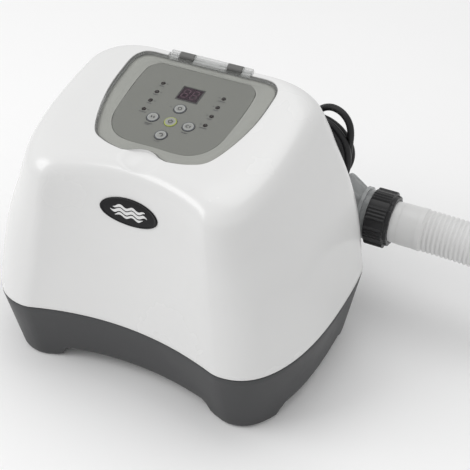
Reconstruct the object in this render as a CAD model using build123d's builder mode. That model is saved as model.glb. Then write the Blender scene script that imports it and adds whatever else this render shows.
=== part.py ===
from build123d import *
from math import acos, cos, hypot, pi, radians, sin, tan
import os

os.makedirs("parts", exist_ok=True)

# Object frame: +Z up, the front faces -Y, origin at the bottom centre of the object's box.
# The control panel has its own tilted frame: x across, t up the slope, h along its normal.
panel_y = -33.2
panel_z = 251.0
panel_tilt = 10.96
lid_face = 4.5
part_z = 80.0
wall = 2.8
lean = radians(panel_tilt)
panel = Plane(
    origin=(0, panel_y, panel_z), x_dir=(1, 0, 0), z_dir=(0, -sin(lean), cos(lean))
)

# One row per level of the housing, y counted from the panel's origin:
# height, slope, half width, crease x, crease y, mid-front y, rear y, rear corner radius, widest y
housing_levels = [
    (80, 0, 173, 102, -113, -95, 104, 28, 41),
    (115, 2.6, 168.5, 96.5, -108, -89.5, 102, 28, 40),
    (150, 5.5, 162, 91.5, -103, -83.5, 100, 28, 38),
    (180, 8.2, 152, 88, -99.5, -79, 98, 28, 35),
    (205.6, panel_tilt, 140.5, 85, -96, -75.5, 96, 29, 30),
    (220, panel_tilt, 135, 83.2, -94, -73.3, 95.2, 30, 27),
    (231.6, panel_tilt, 130, 81.5, -92, -71.5, 94.5, 31, 25),
    (239, panel_tilt, 126.8, 80.5, -90, -70, 94, 32, 23),
    (245, panel_tilt, 123.5, 79, -87, -68, 93, 33, 22),
    (250.6, panel_tilt, 118.5, 76.5, -81, -65, 92, 37, 20),
    (253.6, panel_tilt, 113.5, 73, -73.5, -61, 91, 41, 20),
    (255.1, panel_tilt, 107, 69.5, -64, -56, 90, 43, 19),
    (255.6, panel_tilt, 99, 66, -56, -51.5, 89, 44, 18),
]
base_levels = [
    (0, 0, 160, 105.5, -97, -79, 96, 28, 41),
    (80, 0, 173, 102, -113, -95, 104, 28, 41),
]


def level_face(level, inset, drop):
    z, slope, hw, xc, yc, y0, yr, rc, ys = level
    hw = hw - inset
    xc = xc - 0.3 * inset
    yc = yc + inset
    y0 = y0 + inset
    yr = yr - inset
    rc = rc - inset
    sag = y0 - yc
    e = xc - 7
    k = 1 - (e / xc) ** 2
    s = radians(slope)
    frame = Plane(
        origin=(0, panel_y, z - drop), x_dir=(1, 0, 0), z_dir=(0, -sin(s), cos(s))
    )
    with BuildSketch(frame) as sk:
        with BuildLine():
            ThreePointArc((-e, yc + sag * k), (0, y0), (e, yc + sag * k))
            for m in (1, -1):
                side = [(m * e, yc + sag * k), (m * (xc + 3), yc + 0.5)]
                for a in (72, 58, 42, 24, 8):
                    u = cos(radians(a)) ** 0.8
                    v = sin(radians(a)) ** 0.8
                    side.append((m * (xc + (hw - xc) * u), ys + (yc - ys) * v))
                side.append((m * (hw - 0.3), ys + 0.45 * (yr - rc - ys)))
                for a in (12, 45, 75):
                    u = cos(radians(a))
                    v = sin(radians(a))
                    side.append((m * (hw - rc + rc * u - 1.5), yr - rc + rc * v))
                side.append((m * (hw - rc - 1.5), yr))
                Spline(*side, tangents=[(m, -2 * sag * e / xc**2), (-m, 0)])
            Line((hw - rc - 1.5, yr), (-(hw - rc - 1.5), yr))
        make_face()
    return sk.sketch.faces()[0]


def level_loft(levels, inset, drops):
    faces = [level_face(row, inset, d) for row, d in zip(levels, drops)]
    with BuildPart() as body:
        for f in faces:
            add(f)
        loft(ruled=True)
    return body.part


# Lid outline in the panel frame: half of the curved front, then the rounded back corner
lid_half_width = 77.5
lid_back = 85.5
lid_front = -44.0
notch_front = -37.4
lid_curve = [
    (0, notch_front),
    (8, -38.9),
    (16, -42.7),
    (25, lid_front),
    (44, -39.8),
    (58.5, -30.4),
    (69.6, -3.5),
    (76, 26),
    (lid_half_width, 52),
    (76.6, 72),
    (70, 82.5),
    (60, lid_back),
]
panel_curve = [
    (0, -29),
    (26, -29),
    (40, -25),
    (50, -15),
    (55.5, 0),
    (57.8, 30),
    (58, 55),
    (56, 68),
    (47, 76.3),
]


def curve_face(points, h, grow=0.0):
    half = []
    for i, (x, y) in enumerate(points):
        ax, ay = points[i - 1] if i else (-points[1][0], points[1][1])
        bx, by = points[i + 1] if i + 1 < len(points) else (0, y)
        run = hypot(bx - ax, by - ay)
        half.append((x + grow * (by - ay) / run, y - grow * (bx - ax) / run))
    half[0] = (0, points[0][1] - grow)
    half[-1] = (points[-1][0], points[-1][1] + grow)
    left = [(-x, y) for x, y in reversed(half[1:])]
    with BuildSketch(panel.offset(h)) as sk:
        with BuildLine():
            Spline(*left, *half)
            Line(half[-1], left[0])
        make_face()
    return sk.sketch


def panel_box(x0, x1, t0, t1, h0, h1, mode=Mode.ADD):
    middle = Location(((x0 + x1) / 2, (t0 + t1) / 2, (h0 + h1) / 2))
    with Locations(panel * middle):
        Box(x1 - x0, t1 - t0, h1 - h0, mode=mode)


def box_between(x0, x1, y0, y1, z0, z1, mode=Mode.ADD):
    with Locations(((x0 + x1) / 2, (y0 + y1) / 2, (z0 + z1) / 2)):
        Box(x1 - x0, y1 - y0, z1 - z0, mode=mode)


def rod_along_x(r, x0, x1, y, z, mode=Mode.ADD):
    with Locations(Location(((x0 + x1) / 2, y, z), (0, 90, 0))):
        Cylinder(r, x1 - x0, mode=mode)


no_drop = [0.0] * len(housing_levels)
inner_drop = [0.0, 1.2, 2.0, 2.4] + [wall] * (len(housing_levels) - 4)
outer_form = level_loft(housing_levels, 0.0, no_drop)
inner_form = level_loft(housing_levels, wall, inner_drop)
badge_form = level_loft(housing_levels, -1.4, no_drop)

# Control panel layout, in the panel frame
led_x = 31.9
led_t = [50.7, 38.1, 25.5, 12.9]
led_r = 2.0
button_t = 5.6
button_pitch = 18.5
button_r = 6.0
button_at = [
    (0, button_t),
    (0, button_t + button_pitch),
    (0, button_t - button_pitch),
    (-button_pitch, button_t),
    (button_pitch, button_t),
]
display_t = 44.9
display_w = 23.1
display_h = 19.3
frame_floor = -2.9
board_top = -11.0

# Lid hinge
hinge_t = 90.3
hinge_h = 3.2
barrel_r = 3.9
pin_r = 1.5
slot_half = 44.5

# Cell and ports: the axis runs along X behind the housing
cell_y = 140 + panel_y
cell_z = 106.0
cell_r = 35.0
cell_wall = 3.0
flow_x = -80.0
spigot_r = 26.0
spigot_end = 173.0
nut_start = 156.4
nut_end = 181.5
cuff_r = 22.0
hose_bore_r = 19.0
cuff_end = 213.8

# Screw posts between the tray and the housing
post_at = [(122, -76), (-122, -76), (146, 78), (-146, 78)]
post_r = 5.5

# ---- upper shell
with BuildPart() as dish:
    with Locations(panel.offset(lid_face + 35) * Location((0, -51, 0))):
        Sphere(43)
    add(outer_form, mode=Mode.INTERSECT)

with BuildPart() as hinge_boss:
    panel_box(-48, 48, 84, 94, -6, lid_face)
    add(outer_form, mode=Mode.INTERSECT)

with BuildPart() as shell_posts:
    for px, py in post_at:
        m = 1 if px > 0 else -1
        with BuildSketch(Plane.XY.offset(part_z)):
            with Locations((px, py + panel_y)):
                Circle(post_r)
            with Locations((px + m * 18, py + panel_y)):
                Rectangle(36, 3)
        extrude(amount=24)
    add(outer_form, mode=Mode.INTERSECT)

with BuildPart() as upper_shell:
    add(outer_form)
    add(inner_form, mode=Mode.SUBTRACT)
    extrude(curve_face(lid_curve, -6, 2.0).faces()[0], amount=lid_face + 6)
    add(dish.part)
    add(hinge_boss.part)
    add(shell_posts.part)
    extrude(
        curve_face(lid_curve, frame_floor, 0.5).faces()[0], amount=12, mode=Mode.SUBTRACT
    )
    extrude(curve_face(lid_curve, -10, -5).faces()[0], amount=12, mode=Mode.SUBTRACT)
    with Locations(panel.offset(lid_face + 35) * Location((0, -51, 0))):
        Sphere(40, mode=Mode.SUBTRACT)
    panel_box(-slot_half, slot_half, 85, 100, -1.2, 12, mode=Mode.SUBTRACT)
    for px, py in post_at:
        with Locations((px, py + panel_y, part_z + 9)):
            Cylinder(2.0, 18, mode=Mode.SUBTRACT)
    with Locations(Location((-62, 100 + panel_y, cell_z), (90, 0, 0))):
        Cylinder(12.2, 30, mode=Mode.SUBTRACT)
    with Locations(Location((30, 98 + panel_y, 196), (90, 0, 0))):
        Cylinder(6.2, 30, mode=Mode.SUBTRACT)
upper_shell.part.label = "upper_shell"

# ---- base tray, and its four feet as solids of their own
foot_top = 12.0
front_gap = 15.0
foot_x = 86.0
foot_front = -62 + panel_y
foot_rear = 58 + panel_y
tray_outer = level_loft(base_levels, 0.0, [0.0, 0.0])
tray_inner = level_loft(base_levels, 3.0, [0.0, 0.0])
with BuildPart() as cavity:
    add(tray_inner)
    box_between(-200, 200, -200, 200, 18, 90, mode=Mode.INTERSECT)


def screw_holes():
    for px, py in post_at:
        with Locations((px, py + panel_y, 40)):
            Cylinder(2.2, 100, mode=Mode.SUBTRACT)
        with Locations((px, py + panel_y, 5)):
            Cylinder(4.6, 14, mode=Mode.SUBTRACT)


with BuildPart() as base_tray:
    add(tray_outer)
    add(cavity.part, mode=Mode.SUBTRACT)
    box_between(-200, 200, -200, 200, -1, foot_top, mode=Mode.SUBTRACT)
    box_between(-foot_x, foot_x, -200, 200, -1, front_gap, mode=Mode.SUBTRACT)
    for px, py in post_at:
        with BuildSketch(Plane.XY.offset(front_gap)):
            with Locations((px, py + panel_y)):
                Circle(post_r)
        extrude(amount=part_z - front_gap)
    screw_holes()
base_tray.part.label = "base_tray"

with BuildPart() as base_feet:
    add(tray_outer)
    box_between(-200, 200, -200, 200, 0, foot_top, mode=Mode.INTERSECT)
    box_between(-foot_x, foot_x, -200, 200, -1, foot_top + 1, mode=Mode.SUBTRACT)
    box_between(-200, 200, foot_front, foot_rear, -1, foot_top + 1, mode=Mode.SUBTRACT)
    screw_holes()
base_feet.part.label = "base_feet"

with BuildPart() as shell_screws:
    for px, py in post_at:
        with BuildSketch(Plane.XY.offset(8.5)):
            with Locations((px, py + panel_y)):
                Circle(4.0)
        extrude(amount=3.5)
        with BuildSketch(Plane.XY.offset(12.0)):
            with Locations((px, py + panel_y)):
                Circle(2.0)
        extrude(amount=80)
shell_screws.part.label = "shell_screws"

# ---- panel frame, membrane, display, indicators
post_xt = [(46, -14), (-46, -14), (52, 58), (-52, 58)]
with BuildPart() as panel_frame:
    extrude(curve_face(lid_curve, frame_floor, -0.6).faces()[0], amount=-frame_floor)
    with BuildSketch(panel.offset(board_top)):
        with Locations(*post_xt):
            Circle(3.2)
    extrude(amount=frame_floor - board_top)
    with BuildSketch(panel.offset(-10)):
        with Locations(*button_at):
            Circle(button_r + 0.35)
        with Locations(*[(s * led_x, t) for s in (1, -1) for t in led_t]):
            Circle(led_r + 0.3)
        with Locations((0, display_t)):
            Rectangle(display_w - 2.6, display_h - 2.6)
    extrude(amount=14, mode=Mode.SUBTRACT)
    with BuildSketch(panel.offset(-1.6)):
        with Locations((0, display_t)):
            Rectangle(display_w + 0.2, display_h + 0.2)
    extrude(amount=4, mode=Mode.SUBTRACT)
    with BuildSketch(panel.offset(board_top - 1)):
        with Locations(*post_xt):
            Circle(1.3)
    extrude(amount=7, mode=Mode.SUBTRACT)
panel_frame.part.label = "panel_frame"

with BuildPart() as panel_membrane:
    extrude(curve_face(panel_curve, 0).faces()[0], amount=0.5)
    with BuildSketch(panel.offset(-1)):
        with Locations(*button_at):
            Circle(button_r + 0.35)
        with Locations(*[(s * led_x, t) for s in (1, -1) for t in led_t]):
            Circle(led_r + 0.3)
        with Locations((0, display_t)):
            Rectangle(display_w + 0.2, display_h + 0.2)
    extrude(amount=3, mode=Mode.SUBTRACT)
panel_membrane.part.label = "panel_membrane"

with BuildPart() as display_window:
    with BuildSketch(panel.offset(-1.6)):
        with Locations((0, display_t)):
            RectangleRounded(display_w, display_h, 1.0)
    extrude(amount=2.3)
display_window.part.label = "display_window"

with BuildPart() as display_module:
    with BuildSketch(panel.offset(board_top)):
        with Locations((0, display_t)):
            Rectangle(25.2, 19.0)
    extrude(amount=frame_floor - board_top - 0.1)
display_module.part.label = "display_module"

with BuildPart() as indicator_leds:
    with BuildSketch(panel.offset(board_top)):
        with Locations(*[(s * led_x, t) for s in (1, -1) for t in led_t]):
            Circle(led_r)
    extrude(amount=-board_top + 0.7)
indicator_leds.part.label = "indicator_leds"


def button_form(x, t):
    with Locations(panel * Location((x, t, -4.0))):
        Cylinder(7.4, 1.2)
    with Locations(panel * Location((x, t, -1.05))):
        Cylinder(button_r, 4.7)


with BuildPart() as button_centre:
    button_form(*button_at[0])
button_centre.part.label = "button_centre"

with BuildPart() as button_up:
    button_form(*button_at[1])
button_up.part.label = "button_up"

with BuildPart() as button_down:
    button_form(*button_at[2])
button_down.part.label = "button_down"

with BuildPart() as button_left:
    button_form(*button_at[3])
button_left.part.label = "button_left"

with BuildPart() as button_right:
    button_form(*button_at[4])
button_right.part.label = "button_right"

with BuildPart() as key_switches:
    with BuildSketch(panel.offset(board_top)):
        with Locations(*button_at):
            Rectangle(6, 6)
    extrude(amount=5.2)
key_switches.part.label = "key_switches"

with BuildPart() as control_board:
    with BuildSketch(panel.offset(board_top - 1.6)):
        with Locations((0, 19)):
            Rectangle(116, 86)
        with Locations(*post_xt):
            Circle(1.3, mode=Mode.SUBTRACT)
    extrude(amount=1.6)
control_board.part.label = "control_board"

with BuildPart() as board_screws:
    with BuildSketch(panel.offset(board_top - 3.4)):
        with Locations(*post_xt):
            Circle(2.8)
    extrude(amount=1.8)
    with BuildSketch(panel.offset(board_top - 1.6)):
        with Locations(*post_xt):
            Circle(1.3)
    extrude(amount=6.6)
board_screws.part.label = "board_screws"

# ---- lid, hinge brackets and pins
barrel_spans = [(8, 17.6), (33.4, 43)]
bracket_span = (18, 33)
hinge_at = panel.from_local_coords((0, hinge_t, hinge_h))


def hinge_rod(r, x0, x1, mode=Mode.ADD):
    rod_along_x(r, x0, x1, hinge_at.Y, hinge_at.Z, mode)


with BuildPart() as lid:
    extrude(curve_face(lid_curve, lid_face - 2.0).faces()[0], amount=2.0)
    extrude(curve_face(lid_curve, 0.7).faces()[0], amount=lid_face - 0.7)
    extrude(
        curve_face(lid_curve, 0.7, -2.0).faces()[0],
        amount=lid_face - 2.7,
        mode=Mode.SUBTRACT,
    )
    for a, b in barrel_spans:
        for m in (1, -1):
            x0, x1 = sorted((m * a, m * b))
            panel_box(x0, x1, 83.5, hinge_t, 1.6, lid_face)
            hinge_rod(barrel_r, x0, x1)
    for m in (1, -1):
        x0, x1 = sorted((m * 7, m * 44))
        hinge_rod(pin_r, x0, x1, mode=Mode.SUBTRACT)
lid.part.label = "lid"

with BuildPart() as hinge_brackets:
    for m in (1, -1):
        x0, x1 = sorted((m * bracket_span[0], m * bracket_span[1]))
        panel_box(x0, x1, 86.2, hinge_t + barrel_r, -1.2, hinge_h)
        hinge_rod(barrel_r, x0, x1)
        hinge_rod(pin_r + 0.08, x0 - 1, x1 + 1, mode=Mode.SUBTRACT)
hinge_brackets.part.label = "hinge_brackets"

with BuildPart() as hinge_pins:
    for m in (1, -1):
        x0, x1 = sorted((m * 8.2, m * 42.6))
        hinge_rod(pin_r, x0, x1)
hinge_pins.part.label = "hinge_pins"

# ---- badge on the front scoop
badge_z = 203.0
badge_y = -73.4 + panel_y
badge_lean = radians(8.0)
badge_plane = Plane(
    origin=(0, badge_y - 20, badge_z),
    x_dir=(1, 0, 0),
    z_dir=(0, -cos(badge_lean), sin(badge_lean)),
)
with BuildPart() as badge:
    with BuildSketch(badge_plane):
        Ellipse(29.8, 13.6)
    extrude(amount=-40)
    add(badge_form, mode=Mode.INTERSECT)
    add(outer_form, mode=Mode.SUBTRACT)
badge.part.label = "badge"

# ---- electrolytic cell
cell_profile = [
    (0, cell_r),
    (127, cell_r),
    (146, 25.0),
    (147, 28.0),
    (150.5, 28.0),
    (150.5, spigot_r),
    (spigot_end, spigot_r),
    (spigot_end, spigot_r - 4.5),
    (148, spigot_r - 4.5),
    (126, cell_r - cell_wall),
    (0, cell_r - cell_wall),
]
with BuildPart() as cell_housing:
    with BuildSketch(Plane(origin=(0, cell_y, cell_z), x_dir=(1, 0, 0), z_dir=(0, -1, 0))):
        with BuildLine():
            Polyline(*cell_profile, close=True)
        make_face()
    revolve(axis=Axis((0, cell_y, cell_z), (1, 0, 0)), revolution_arc=360)
    mirror(about=Plane.YZ)
    with BuildSketch(Plane.XY.offset(cell_z + cell_r - 4)):
        with Locations((flow_x, cell_y)):
            Circle(11)
    extrude(amount=20)
    with BuildSketch(Plane.XY.offset(cell_z + cell_r - 8)):
        with Locations((flow_x, cell_y)):
            Circle(8)
    extrude(amount=30, mode=Mode.SUBTRACT)
    with Locations(Location((-62, cell_y - cell_r - 1, cell_z), (90, 0, 0))):
        Cylinder(7, 14, mode=Mode.SUBTRACT)
cell_housing.part.label = "cell_housing"

with BuildPart() as flow_switch:
    with BuildSketch(Plane.XY.offset(cell_z + cell_r - 2)):
        with Locations((flow_x, cell_y)):
            Circle(7.9)
    extrude(amount=18)
    with BuildSketch(Plane.XY.offset(cell_z + cell_r + 16)):
        with Locations((flow_x, cell_y)):
            Circle(11)
    extrude(amount=4)
    with BuildSketch(Plane.XY.offset(cell_z + cell_r - 12)):
        with Locations((flow_x, cell_y + 4.5), (flow_x, cell_y - 4.5)):
            Rectangle(6, 2.6)
    extrude(amount=10)
    with Locations(Location((flow_x, cell_y, cell_z + cell_r - 8.5), (90, 0, 0))):
        Cylinder(1.08, 16, mode=Mode.SUBTRACT)
flow_switch.part.label = "flow_switch"

paddle_top = cell_z + cell_r - 8.5
with BuildPart() as flow_paddle:
    with Locations(Location((flow_x, cell_y, paddle_top), (90, 0, 0))):
        Cylinder(1.0, 11)
        Cylinder(2.2, 5.6)
    box_between(
        flow_x - 1, flow_x + 1, cell_y - 2.6, cell_y + 2.6, paddle_top - 30, paddle_top
    )
    box_between(
        flow_x - 1, flow_x + 1, cell_y - 10, cell_y + 10, paddle_top - 44, paddle_top - 22
    )
flow_paddle.part.label = "flow_paddle"

plate_y = [-14, -7, 0, 7, 14]
with BuildPart() as electrode_plates:
    for dy in plate_y:
        box_between(-40, 100, cell_y + dy - 0.5, cell_y + dy + 0.5, cell_z - 18, cell_z + 18)
electrode_plates.part.label = "electrode_plates"

with BuildPart() as plate_combs:
    for x in (-46, 96):
        with BuildSketch(Plane(origin=(x, cell_y, cell_z), z_dir=(1, 0, 0))):
            Circle(cell_r - cell_wall)
            Circle(cell_r - cell_wall - 3, mode=Mode.SUBTRACT)
            Rectangle(2 * (cell_r - cell_wall - 2), 5)
            Rectangle(5, 2 * (cell_r - cell_wall - 2))
            with Locations((0, 13), (0, -13)):
                Rectangle(50, 3)
        extrude(amount=9)
    add(electrode_plates.part, mode=Mode.SUBTRACT)
plate_combs.part.label = "plate_combs"

with BuildPart() as cell_solid:
    rod_along_x(cell_r, -127, 127, cell_y, cell_z)
    with Locations(Location((-62, cell_y - cell_r, cell_z), (90, 0, 0))):
        Cylinder(6.9, 40, mode=Mode.SUBTRACT)

with BuildPart() as cell_socket:
    with Locations(Location((-62, 97 + panel_y, cell_z), (90, 0, 0))):
        Cylinder(12, 22)
    with Locations(Location((-62, cell_y - 24, cell_z), (90, 0, 0))):
        Cylinder(6.9, 34)
    add(cell_solid.part, mode=Mode.SUBTRACT)
cell_socket.part.label = "cell_socket"

saddle_x = [-108, 36]
with BuildPart() as cell_saddles:
    for x in saddle_x:
        rod_along_x(cell_r + 4, x - 8, x + 8, cell_y, cell_z)
        box_between(x - 8, x + 8, 90 + panel_y, cell_y - 14, cell_z - 24, cell_z + 24)
        box_between(x - 8, x + 8, 90 + panel_y, 107 + panel_y, cell_z - 46, cell_z - 24)
        rod_along_x(cell_r, x - 9, x + 9, cell_y, cell_z, mode=Mode.SUBTRACT)
    add(outer_form, mode=Mode.SUBTRACT)
    add(tray_outer, mode=Mode.SUBTRACT)
cell_saddles.part.label = "cell_saddles"

with BuildPart() as saddle_screws:
    for x in saddle_x:
        with Locations(Location((x, 108.5 + panel_y, cell_z - 35), (90, 0, 0))):
            Cylinder(4, 3)
saddle_screws.part.label = "saddle_screws"

# ---- union nuts: a ribbed ring that traps the hose flange
nut_r = 28.9
nut_band = nut_end - nut_start - 3.0
with BuildPart() as union_nut_right:
    with BuildSketch(Plane(origin=(nut_start, cell_y, cell_z), z_dir=(1, 0, 0))):
        Circle(nut_r)
        for group in range(8):
            with PolarLocations(nut_r, 4, start_angle=45 * group, angular_range=33):
                Circle(1.1)
    extrude(amount=nut_band)
    with BuildSketch(Plane(origin=(nut_end - 3, cell_y, cell_z), z_dir=(1, 0, 0))):
        Circle(nut_r - 0.5)
    extrude(amount=3, taper=14)
    rod_along_x(spigot_r + 0.4, nut_start - 1, nut_end - 3.1, cell_y, cell_z, Mode.SUBTRACT)
    rod_along_x(cuff_r + 0.4, nut_start - 1, nut_end + 1, cell_y, cell_z, Mode.SUBTRACT)
union_nut_right.part.label = "union_nut_right"

with BuildPart() as union_nut_left:
    add(union_nut_right.part)
    mirror(about=Plane.YZ, mode=Mode.REPLACE)
union_nut_left.part.label = "union_nut_left"

with BuildPart() as port_gaskets:
    for m in (1, -1):
        with BuildSketch(Plane(origin=(m * spigot_end, cell_y, cell_z), z_dir=(m, 0, 0))):
            Circle(25.4)
            Circle(20.5, mode=Mode.SUBTRACT)
        extrude(amount=2)
port_gaskets.part.label = "port_gaskets"

# ---- electronics on the tray
with BuildPart() as board_standoffs:
    with BuildSketch(Plane.XY.offset(18)):
        with Locations((-100, -60), (-100, 20), (10, -60), (10, 20)):
            Circle(3.2)
    extrude(amount=8)
board_standoffs.part.label = "board_standoffs"

with BuildPart() as power_board:
    with BuildSketch(Plane.XY.offset(26)):
        with Locations((-45, -20)):
            Rectangle(124, 94)
    extrude(amount=1.6)
power_board.part.label = "power_board"

with BuildPart() as heat_sink:
    box_between(-100, -60, -40, 20, 27.6, 32)
    for k in range(6):
        box_between(-100 + 7.4 * k, -97 + 7.4 * k, -40, 20, 32, 60)
heat_sink.part.label = "heat_sink"

with BuildPart() as terminal_block:
    box_between(-30, 8, 6, 18, 27.6, 40)
terminal_block.part.label = "terminal_block"

with BuildPart() as transformer:
    box_between(40, 110, -50, 10, 18, 74)
    box_between(52, 98, -62, 22, 27, 65)
transformer.part.label = "transformer"

# ---- mains cord
cord_d = 7.0
gland_x = 30.0
gland_z = 196.0
gland_y = 98.2 + panel_y
with BuildPart() as cord_gland:
    with Locations(Location((gland_x, gland_y - 4, gland_z), (90, 0, 0))):
        Cylinder(6.1, 16)
    with Locations(Location((gland_x, gland_y - 9, gland_z), (90, 0, 0))):
        Cylinder(9, 4)
    with Locations(Location((gland_x, gland_y + 5.5, gland_z), (90, 0, 0))):
        Cylinder(8, 7)
    with Locations(Location((gland_x, gland_y + 14, gland_z), (90, 0, 0))):
        Cylinder(5.2, 10)
    with Locations(Location((gland_x, gland_y + 15, gland_z), (90, 0, 0))):
        Cylinder(cord_d / 2 + 0.3, 8, mode=Mode.SUBTRACT)
cord_gland.part.label = "cord_gland"

coil_x = 98.0
coil_y = 115.6 + panel_y
coil_z = 183.8
coil_mean = 35.5
coil_deep = 28.0
coil_thick = 14.0
with BuildPart() as power_cord_coil:
    with BuildSketch(Plane(origin=(coil_x, coil_y, coil_z), x_dir=(1, 0, 0), z_dir=(0, 0, 1))):
        with Locations((coil_mean, 0)):
            RectangleRounded(coil_thick, coil_deep, 4.5)
    revolve(axis=Axis((coil_x, coil_y, coil_z), (0, 1, 0)), revolution_arc=360)
power_cord_coil.part.label = "power_cord_coil"


def bend_radii(points):
    radii = []
    for a, b, c in zip(points, points[1:], points[2:]):
        u = Vector(*b) - Vector(*a)
        v = Vector(*c) - Vector(*b)
        turn = acos(max(-1.0, min(1.0, u.normalized().dot(v.normalized()))))
        radii.append(0.45 * min(u.length, v.length) / tan(turn / 2))
    return radii


def tube_on(name, points, radius, bore=0.0):
    radii = bend_radii(points)
    with BuildLine() as route:
        FilletPolyline(*points, radius=radii)
    first = Vector(*points[1]) - Vector(*points[0])
    with BuildSketch(Plane(origin=points[0], z_dir=first)) as section:
        Circle(radius)
        if bore:
            Circle(bore, mode=Mode.SUBTRACT)
    path = route.wires()[0]
    tube = sweep(sections=section.sketch, path=path)
    share = tube.volume / (pi * (radius**2 - bore**2) * path.length)
    print(name, "radii", [round(r, 1) for r in radii])
    print("  least in diameters", round(min(radii) / (2 * radius), 2))
    print("  length", round(path.length, 1), "volume over section x length", round(share, 4))


lead_points = [
    (gland_x, gland_y + 11, gland_z),
    (gland_x, gland_y + 34, gland_z),
    (gland_x + 18, gland_y + 50, gland_z + 1),
    (gland_x + 42, gland_y + 47, gland_z + 8),
    (gland_x + 61, gland_y + 37, gland_z + 21),
    (gland_x + 76.5, gland_y + 30, gland_z + 35),
    (gland_x + 92.8, gland_y + 25, gland_z + 35),
    (gland_x + 104, gland_y + 21, gland_z + 23.3),
    (gland_x + 104.4, gland_y + 18.4, gland_z),
    (gland_x + 103.6, gland_y + 17.6, gland_z - 24),
]
with BuildPart() as power_cord_lead:
    tube_on("power_cord_lead", lead_points, cord_d / 2)
    add(power_cord_coil.part, mode=Mode.SUBTRACT)
    box_between(gland_x + 60, gland_x + 130, 60, 140, 150, 205, mode=Mode.SUBTRACT)
power_cord_lead.part.label = "power_cord_lead"

tail_points = [
    (coil_x - 8, cell_y - 17, cell_z + 41.8),
    (coil_x - 36, cell_y - 6, cell_z + 47.5),
    (coil_x - 64, cell_y + 13, cell_z + 49.5),
    (coil_x - 88, cell_y + 36, cell_z + 39),
    (coil_x - 104, cell_y + 55, cell_z + 12),
    (coil_x - 112, cell_y + 64, cell_z - 26),
    (coil_x - 117.5, cell_y + 68, cell_z - 70),
    (coil_x - 145, cell_y + 71, cell_z - 102.2),
    (coil_x - 188, cell_y + 72.5, cell_z - 102.2),
]
with BuildPart() as power_cord_tail:
    tube_on("power_cord_tail", tail_points, cord_d / 2)
    add(power_cord_coil.part, mode=Mode.SUBTRACT)
power_cord_tail.part.label = "power_cord_tail"

with BuildPart() as cord_tie:
    box_between(
        coil_x - 5, coil_x + 5, coil_y - 13.4, coil_y + 15.4, coil_z - 44, coil_z - 27
    )
    add(power_cord_coil.part, mode=Mode.SUBTRACT)
cord_tie.part.label = "cord_tie"

plug_x, plug_y, plug_z = tail_points[-1]
with BuildPart() as plug_body:
    with BuildSketch(Plane(origin=(plug_x, plug_y, plug_z), z_dir=(-1, 0.05, 0))):
        Circle(3.7)
    extrude(amount=26)
    with Locations(Location((plug_x - 34, plug_y + 1.7, 13.0), (0, 0, -2.9))):
        Box(36, 30, 26)
    fillet(plug_body.edges().filter_by(Axis.Z), 5)
plug_body.part.label = "plug_body"

with BuildPart() as plug_pins:
    with Locations(Location((plug_x - 34, plug_y + 1.7, 13.0), (0, 0, -2.9))):
        with Locations((-26.5, 6.3, 3), (-26.5, -6.3, 3)):
            Box(17, 1.6, 6.4)
        with Locations(Location((-27, 0, -6), (0, 90, 0))):
            Cylinder(2.4, 18)
plug_pins.part.label = "plug_pins"


# ---- hose: cuff, laid run and far cuff
with BuildPart() as hose_cuff:
    with BuildSketch(Plane(origin=(spigot_end + 2, cell_y, cell_z), z_dir=(1, 0, 0))):
        Circle(25.4)
        Circle(hose_bore_r, mode=Mode.SUBTRACT)
    extrude(amount=3)
    with BuildSketch(Plane(origin=(spigot_end + 2, cell_y, cell_z), z_dir=(1, 0, 0))):
        Circle(cuff_r)
        Circle(hose_bore_r, mode=Mode.SUBTRACT)
    extrude(amount=cuff_end - spigot_end - 2)
hose_cuff.part.label = "hose_cuff"

hose_points = [
    (cuff_end, cell_y, cell_z),
    (cuff_end + 84, cell_y, cell_z),
    (cuff_end + 191, cell_y - 1, cell_z - 22),
    (cuff_end + 286, cell_y - 4, cell_z - 60),
    (cuff_end + 376, cell_y - 7.4, 22.6),
    (cuff_end + 518, cell_y - 8.8, 22.4),
    (cuff_end + 627, cell_y - 88, 22.4),
    (cuff_end + 669, cell_y - 217, 22.4),
    (cuff_end + 627, cell_y - 345.5, 22.4),
    (cuff_end + 518, cell_y - 425, 22.4),
    (cuff_end + 380, cell_y - 421, 22.4),
    (cuff_end + 287, cell_y - 421, 22.4),
]
with BuildPart() as hose_run:
    tube_on("hose_run", hose_points, cuff_r, hose_bore_r)
hose_run.part.label = "hose_run"

hose_last = Vector(*hose_points[-1]) - Vector(*hose_points[-2])
with BuildPart() as hose_end_cuff:
    with BuildSketch(Plane(origin=hose_points[-1], z_dir=hose_last)):
        Circle(cuff_r)
        Circle(hose_bore_r, mode=Mode.SUBTRACT)
    extrude(amount=42)
hose_end_cuff.part.label = "hose_end_cuff"

# ---- one STEP file per node
export_step(upper_shell.part, "parts/upper_shell.step")
export_step(base_tray.part, "parts/base_tray.step")
export_step(base_feet.part, "parts/base_feet.step")
export_step(shell_screws.part, "parts/shell_screws.step")
export_step(panel_frame.part, "parts/panel_frame.step")
export_step(panel_membrane.part, "parts/panel_membrane.step")
export_step(display_window.part, "parts/display_window.step")
export_step(display_module.part, "parts/display_module.step")
export_step(indicator_leds.part, "parts/indicator_leds.step")
export_step(button_centre.part, "parts/button_centre.step")
export_step(button_up.part, "parts/button_up.step")
export_step(button_down.part, "parts/button_down.step")
export_step(button_left.part, "parts/button_left.step")
export_step(button_right.part, "parts/button_right.step")
export_step(key_switches.part, "parts/key_switches.step")
export_step(control_board.part, "parts/control_board.step")
export_step(board_screws.part, "parts/board_screws.step")
export_step(lid.part, "parts/lid.step")
export_step(hinge_brackets.part, "parts/hinge_brackets.step")
export_step(hinge_pins.part, "parts/hinge_pins.step")
export_step(badge.part, "parts/badge.step")
export_step(cell_housing.part, "parts/cell_housing.step")
export_step(flow_switch.part, "parts/flow_switch.step")
export_step(flow_paddle.part, "parts/flow_paddle.step")
export_step(electrode_plates.part, "parts/electrode_plates.step")
export_step(plate_combs.part, "parts/plate_combs.step")
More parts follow.
